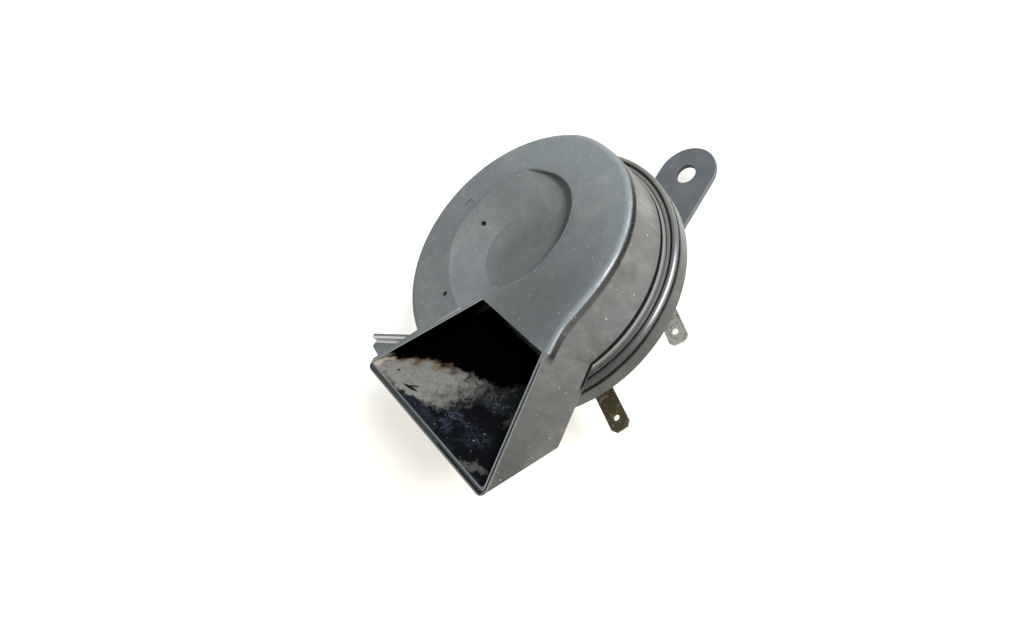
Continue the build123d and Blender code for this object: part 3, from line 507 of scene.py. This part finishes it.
# inside the mouth: dust on the ramp below a line, painted shade beyond it for the deep inside, tar with bluish streaks
# painted as a wet sheen at its foot
ragged = add(tree, "TexNoise", {"normalize": False}, {
    "Vector": spot, "Scale": mouth["ragged"], "Detail": 4.0, "Roughness": 0.58,
})
warped = add(tree, "VectorMath", timesPlus, {0: ragged.outputs["Color"], 1: mouth["raggedReach"], 2: spot}).outputs[0]
warpedAxes = add(tree, "SeparateXYZ", links={0: warped}).outputs
bend = mouth["dustLine"][3]
for term in mouth["dustLine"][2::-1]:
    bend = add(tree, "Math", timesPlus, {0: warpedAxes["X"], 1: bend, 2: term}).outputs[0]
past = add(tree, "Math", {"operation": "SUBTRACT"}, {0: warpedAxes["Y"], 1: bend}).outputs[0]
mottle = add(tree, "TexNoise", links={
    "Vector": spot, "Scale": mouth["mottle"], "Detail": 6.0, "Roughness": 0.6, "Distortion": 0.8,
}).outputs["Fac"]
mottled = add(tree, "MapRange", links=span(mottle, 0.3, 0.7, -0.32, 0.4)).outputs[0]
thin = add(tree, "Math", {"operation": "ADD", "use_clamp": True}, {
    0: mask(tree, (warpedAxes["X"], 5.0, 23.0)), 1: mottled,
}).outputs[0]
tarAcross = add(tree, "VectorMath", {"operation": "DOT_PRODUCT"}, {0: warped, 1: mouth["tarAcross"]}).outputs["Value"]
tarred = anyOf(tree, mask(tree, (tarAcross, *mouth["tarLine"])), patch(tree, warped, *mouth["tarPool"]))
wetRun = add(tree, "Mapping", {"vector_type": "TEXTURE"}, {
    "Vector": warped, "Rotation": (0, 0, np.radians(mouth["wetTurn"])), "Scale": mouth["wetSize"],
})
wetNoise = add(tree, "TexNoise", links={
    "Vector": wetRun.outputs[0], "Scale": 1.0, "Detail": 5.0, "Roughness": 0.62, "Distortion": 0.25,
}).outputs["Fac"]
tar = coated(
    tree, mouth["tar"],
    # painted sheen: bluish streaks on the tar for its wet look
    (mask(tree, (wetNoise, 0.45, 0.72), patch(tree, spot, *mouth["wetPatch"])), mouth["sheenStreaks"]),
    (mask(tree, (warpedAxes["Y"], *mouth["navyLine"])), mouth["navy"]),
)
# painted shade: black over the deep inside, past the dust line
deepShaded = mask(tree, (past, -2.0, 1.0))
inside = coated(
    tree, mouth["settled"],
    (thin, mouth["thin"]),
    (patch(tree, warped, *mouth["thinDust"]), mouth["thin"], 0.5),
    (mask(tree, (past, -3.4, -1.2), (warpedAxes["X"], -1.0, 7.0, 0.8, 0.0)), mouth["rusty"]),
    (patch(tree, warped, *mouth["creamDust"]), mouth["cream"]),
    (tarred, tar),
    (patches(tree, warped, mouth["laterDust"]), mouth["settled"], 0.3),
    (patches(tree, spot, mouth["cracks"]), mouth["tar"]),
    (pale, nylon["dust"], 0.4),
    (deepShaded, mouth["deepShade"]),
)
whole = coated(tree, skinColour, (inMouth, inside))

rough = add(tree, "MapRange", links=span(grain, 0.2, 0.8, *nylon["roughness"])).outputs[0]
smooth = add(tree, "Mix", inNumber, {0: rubbedAndHighlit, 2: rough, 3: nylon["polishedRoughness"]}).outputs[0]
bumpFine = add(tree, "Bump", links={"Height": grain, "Strength": 0.5, "Distance": nylon["grainDepth"]})
bumpWide = add(tree, "Bump", links={
    "Height": blotch, "Strength": 0.5, "Distance": nylon["blotchDepth"], "Normal": bumpFine.outputs[0],
})
skin = add(tree, "BsdfPrincipled", links={
    "Base Color": whole, "Roughness": smooth, "IOR": nylon["ior"], "Normal": bumpWide.outputs[0],
})
matt = add(tree, "BsdfDiffuse", links={"Color": whole})  # the mouth's dust, tar and painted shade, and the dark painted lines and holes, don't shine
mattShare = anyOf(
    tree, mask(tree, anyOf(tree, mask(tree, (tarred, 0.0, 1.0, 0.97, 0.85)), deepShaded), inMouth),
    mask(tree, anyOf(tree, darkReflectionLine, wallFoot, grooved, holes), 0.9),
)
surface = add(tree, "MixShader", links={0: mattShare, 1: skin.outputs[0], 2: matt.outputs[0]})
add(tree, "OutputMaterial", links={"Surface": surface.outputs[0]})
print("nylon made")

enamel = {
    "coat": "#63645f", "worn": "#8d8d86", "ledge": "#777873", "bead": "#626463", "rubbedAndHighlit": "#e6e9e7",
    "grimeAndShade": "#0c0c0c", "rust": "#5f4436",
    "ledgeEnd": 43.02, "beadStart": 43.85, "beadHighlightAt": 44.93,  # distances from the axis, mm
    "raisedFrom": 36.5, "footAt": 36.7,  # heights, mm
    "patches": 0.09, "grit": 1.8, "specks": 0.8,  # how many to a mm
    "beadHighlightPatch": ((41.0, 19.0), (12.0, 10.0), 0, 0.5), "speckle": (0.84, 1.16),
    "bandPaintedLight": (27.0, 38.0, 0.45, 1.4), "bandPaintedShade": (14.0, 3.0, 1.0, 0.75),  # painted light and shade on the rim: y mm from and to, and how light at each
    "roughness": (0.34, 0.56), "ior": 1.5, "gritDepth": 0.00007, "patchDepth": 0.0006,  # depths in metres
}
# black stove enamel on pressed steel: satin and gone grey, with a near-white painted highlight and rubbed paint in a
# line along the bead, black painted shade and dirt in the grooves each side of it, painted light and shade by height,
# darker under and beside the mouth, and rust specks there
stovedEnamel, tree = startMaterial("stovedEnamel")
spot, axes = trumpetPlace(tree)[1:]
away, up = axes["Y"], axes["Z"]
fromAxis = aboutAxis(tree, spot)[1]
blotch = add(tree, "TexNoise", links={
    "Vector": spot, "Scale": enamel["patches"], "Detail": 6.0, "Roughness": 0.65, "Distortion": 0.6,
}).outputs["Fac"]
grit = add(tree, "TexNoise", links={
    "Vector": spot, "Scale": enamel["grit"], "Detail": 5.0, "Roughness": 0.75,
}).outputs["Fac"]
specks = add(tree, "TexNoise", links={
    "Vector": spot, "Scale": enamel["specks"], "Detail": 4.0, "Roughness": 0.8,
}).outputs["Fac"]
raised = mask(tree, (up, enamel["raisedFrom"], enamel["raisedFrom"] + 0.7))  # from the groove under the bead up
onBead = mask(tree, raised, (fromAxis, enamel["beadStart"] - 0.1, enamel["beadStart"] + 0.2))
onLedge = mask(tree, raised, (fromAxis, enamel["ledgeEnd"], enamel["ledgeEnd"] + 0.15, 1.0, 0.0))
valley = mask(tree, raised, *between(fromAxis, enamel["ledgeEnd"] + 0.05, enamel["beadStart"], 0.1))
footLine = mask(tree, *between(up, enamel["footAt"] - 1.0, enamel["footAt"] + 0.75, 0.2), (fromAxis, 44.0, 44.4))
# painted highlight: a near-white line along the outer side of the bead, partly rubbed paint
beadHighlight = mask(
    tree, onBead, *between(fromAxis, enamel["beadHighlightAt"] - 0.12, enamel["beadHighlightAt"] + 0.25, 0.08),
    (up, 37.3, 37.6), patch(tree, spot, *enamel["beadHighlightPatch"]),
)
belowMouth = mask(tree, (away, 15.0, -6.0))  # under and beside the mouth
beadShare = mask(tree, (mask(tree, (away, 30.0, 44.0)), 0.0, 1.0, 0.9, 0.2))
uneven = mask(tree, (grit, 0.32, 0.6, 0.5, 1.0))
bodyColour = coated(tree, enamel["coat"], (mask(tree, (blotch, 0.42, 0.72, 0.0, 0.55)), enamel["worn"]))
# painted light and shade: the rim darker low down and lighter at its top
bodyColour = add(tree, "VectorMath", {"operation": "SCALE"}, {
    0: bodyColour, "Scale": mask(tree, (away, *enamel["bandPaintedLight"]), (away, *enamel["bandPaintedShade"])),
}).outputs[0]
bodyColour = coated(
    tree, bodyColour,
    (onLedge, enamel["ledge"], 0.9),
    (mask(tree, onBead, beadShare), enamel["bead"]),
    # painted highlight along the bead
    (beadHighlight, enamel["rubbedAndHighlit"], 0.85),
)
speckle = add(tree, "MapRange", links=span(grit, 0.25, 0.75, *enamel["speckle"])).outputs[0]
bodyColour = add(tree, "VectorMath", {"operation": "SCALE"}, {0: bodyColour, "Scale": speckle}).outputs[0]
bodyColour = coated(
    tree, bodyColour,
    # darker under and beside the mouth, and black in the grooves each side of the bead: painted shade and dirt
    (mask(tree, belowMouth, raised, uneven), enamel["grimeAndShade"], 0.62),
    (mask(tree, anyOf(tree, mask(tree, valley, 0.7), footLine), uneven), enamel["grimeAndShade"], 0.95),
    (mask(tree, (specks, 0.56, 0.68, 0.0, 0.7), (away, 2.0, -20.0), raised), enamel["rust"]),
)
rough = add(tree, "MapRange", links=span(grit, 0.2, 0.8, *enamel["roughness"])).outputs[0]
bumpFine = add(tree, "Bump", links={"Height": grit, "Strength": 0.6, "Distance": enamel["gritDepth"]})
bumpWide = add(tree, "Bump", links={
    "Height": blotch, "Strength": 0.4, "Distance": enamel["patchDepth"], "Normal": bumpFine.outputs[0],
})
skin = add(tree, "BsdfPrincipled", links={
    "Base Color": bodyColour, "Roughness": rough, "IOR": enamel["ior"], "Normal": bumpWide.outputs[0],
})
matt = add(tree, "BsdfDiffuse", links={"Color": bodyColour})  # the painted shade and dirt don't shine
mattShare = mask(tree, anyOf(tree, valley, footLine, mask(tree, belowMouth, raised, 0.6)), 0.92)
surface = add(tree, "MixShader", links={0: mattShare, 1: skin.outputs[0], 2: matt.outputs[0]})
add(tree, "OutputMaterial", links={"Surface": surface.outputs[0]})
print("enamel made")

blade = {
    "bright": "#e6e5da", "dull": "#a9a68f", "brown": "#50462f", "pit": "#241f16",
    "tin": 0.45, "pits": 1.5, "pitDepth": 0.00006,  # how many to a mm, and metres
}
# tinned brass: bright where it was rubbed, dull olive and brown where the tin has gone
tinnedBrass, tree = startMaterial("tinnedBrass")
spot, axes = trumpetPlace(tree)[1:]
tin = add(tree, "TexNoise", links={
    "Vector": spot, "Scale": blade["tin"], "Detail": 7.0, "Roughness": 0.75, "Distortion": 1.2,
}).outputs["Fac"]
pits = add(tree, "TexNoise", links={
    "Vector": spot, "Scale": blade["pits"], "Detail": 5.0, "Roughness": 0.7,
}).outputs["Fac"]
older = mask(tree, (axes["Y"], 4.0, -4.0))  # the lower blade is the browner
gone = add(tree, "Math", timesPlus, {0: older, 1: 0.34, 2: tin}).outputs[0]
leaf = coated(
    tree, blade["bright"],
    (mask(tree, (gone, 0.46, 0.62)), blade["dull"]),
    (mask(tree, (gone, 0.6, 0.85)), blade["brown"]),
    (mask(tree, (pits, 0.54, 0.66, 0.0, 0.85)), blade["pit"]),
)
metal = add(tree, "MapRange", links=span(gone, 0.45, 0.95, 0.55, 0.3)).outputs[0]
rough = add(tree, "MapRange", links=span(gone, 0.4, 0.9, 0.25, 0.6)).outputs[0]
bump = add(tree, "Bump", links={"Height": pits, "Strength": 0.5, "Distance": blade["pitDepth"]})
skin = add(tree, "BsdfPrincipled", links={
    "Base Color": leaf, "Metallic": metal, "Roughness": rough, "Normal": bump.outputs[0],
})
add(tree, "OutputMaterial", links={"Surface": skin.outputs[0]})
print("brass made")


def spottedFinish(name, shades, metallic, roughness, patchSize, grainSize, relief, share, darkened=None):
    # main colour, patches of a second and specks of a third, with the grain in roughness and bump; sizes in mm
    made, tree = startMaterial(name)
    coords = add(tree, "TexCoord")
    spot = add(tree, "Mapping", links={"Vector": coords.outputs["Object"], "Scale": (1000, 1000, 1000)}).outputs[0]
    blotch = add(tree, "TexNoise", links={
        "Vector": spot, "Scale": 1 / patchSize, "Detail": 6.0, "Roughness": 0.65, "Distortion": 0.4,
    }).outputs["Fac"]
    grain = add(tree, "TexNoise", links={
        "Vector": spot, "Scale": 1 / grainSize, "Detail": 4.0, "Roughness": 0.7,
    }).outputs["Fac"]
    colour = coated(
        tree, shades[0],
        (mask(tree, (blotch, 0.4, 0.68, 0.0, share)), shades[1]),
        (mask(tree, (grain, 0.6, 0.74, 0.0, 0.7)), shades[2]),
    )
    if darkened:
        colour = coated(tree, colour, (patch(tree, spot, *darkened[:-1]), darkened[-1]))
    rough = add(tree, "MapRange", links=span(grain, 0.25, 0.75, roughness - 0.08, roughness + 0.1)).outputs[0]
    bump = add(tree, "Bump", links={"Height": grain, "Strength": 0.5, "Distance": relief * mm})
    skin = add(tree, "BsdfPrincipled", links={
        "Base Color": colour, "Metallic": metallic, "Roughness": rough, "Normal": bump.outputs[0],
    })
    add(tree, "OutputMaterial", links={"Surface": skin.outputs[0]})
    return made


boltHole = ((0, 0), (3.7, 3.7), 0, 0.03, "#17191b")  # darker on its wall
finishes = {  # name: shades, metallic, roughness, patch mm, grain mm, relief mm, share of patches, darker patch
    # dark slate enamel on strip steel
    "stripEnamel": (("#5f6467", "#70767a", "#4e5254"), 0.0, 0.46, 9.0, 0.7, 0.05, 0.5, boltHole),
    # zinc plate gone dull, with brown specks
    "zincedSteel": (("#a3a39c", "#8a8778", "#6b5b45"), 1.0, 0.42, 5.0, 0.5, 0.04, 0.6),
    # rolled spring steel, smooth and grey
    "springSteel": (("#8e9194", "#7c7f83", "#5b5d60"), 1.0, 0.34, 8.0, 0.4, 0.02, 0.4),
    # pressed fibre with visible shreds
    "gasketFibre": (("#6d655a", "#5b5348", "#837a6b"), 0.0, 0.88, 4.0, 0.35, 0.08, 0.6),
    # magnet wire, orange brown and shiny
    "enamelledCopper": (("#a9562c", "#8f4522", "#c77c4c"), 0.85, 0.36, 5.0, 0.6, 0.05, 0.5),
    # paper laminate, brown with its fibres
    "phenolicBoard": (("#5d3a26", "#6d4630", "#3f281b"), 0.0, 0.5, 3.0, 0.4, 0.04, 0.6),
    # rolled contact spring, golden and smooth
    "phosphorBronze": (("#b3874e", "#a37a48", "#7d5b36"), 1.0, 0.32, 5.0, 0.5, 0.02, 0.5),
    # silver faces with burnt spots
    "silverContact": (("#cac8c1", "#b1aea6", "#6f6a64"), 1.0, 0.28, 1.5, 0.3, 0.02, 0.6),
}
made = {name: spottedFinish(name, *values) for name, values in finishes.items()}
print("plain finishes made:", len(made))
made.update({"agedNylon": agedNylon, "stovedEnamel": stovedEnamel, "tinnedBrass": tinnedBrass})
wears = {
    "agedNylon": ["trumpet_shell", "trumpet_base"], "stovedEnamel": ["rear_housing"], "stripEnamel": ["fixing_strip"],
    "zincedSteel": [
        "pole_core_stud", "pole_plate", "armature", "armature_washer", "armature_nut", "fixed_arm", "pole_plate_rivets",
        "stack_rivet", "spring_washer", "stud_nuts", "adjusting_screw", "adjuster_bush",
    ],
    "springSteel": ["diaphragm"], "gasketFibre": ["front_gasket", "rear_gasket"], "enamelledCopper": ["coil_winding"],
    "phenolicBoard": [
        "coil_bobbin", "terminal_plate", "lower_insulator", "middle_insulator", "upper_insulator", "stack_sleeve",
        "breaker_button", "terminal_washers",
    ],
    "phosphorBronze": ["contact_leaf"], "silverContact": ["leaf_contact", "arm_contact"],
    "tinnedBrass": ["coil_blade", "breaker_blade", "terminal_rivets"],
}
for finish, names in wears.items():
    for name in names:
        mesh = nodes[name].data
        mesh.materials.clear()
        mesh.materials.append(made[finish])
pressedHousing.data.materials.append(stovedEnamel)
threadedStud.data.materials.append(made["zincedSteel"])
print("materials given")

bpy.context.scene.view_settings.view_transform = "Standard"
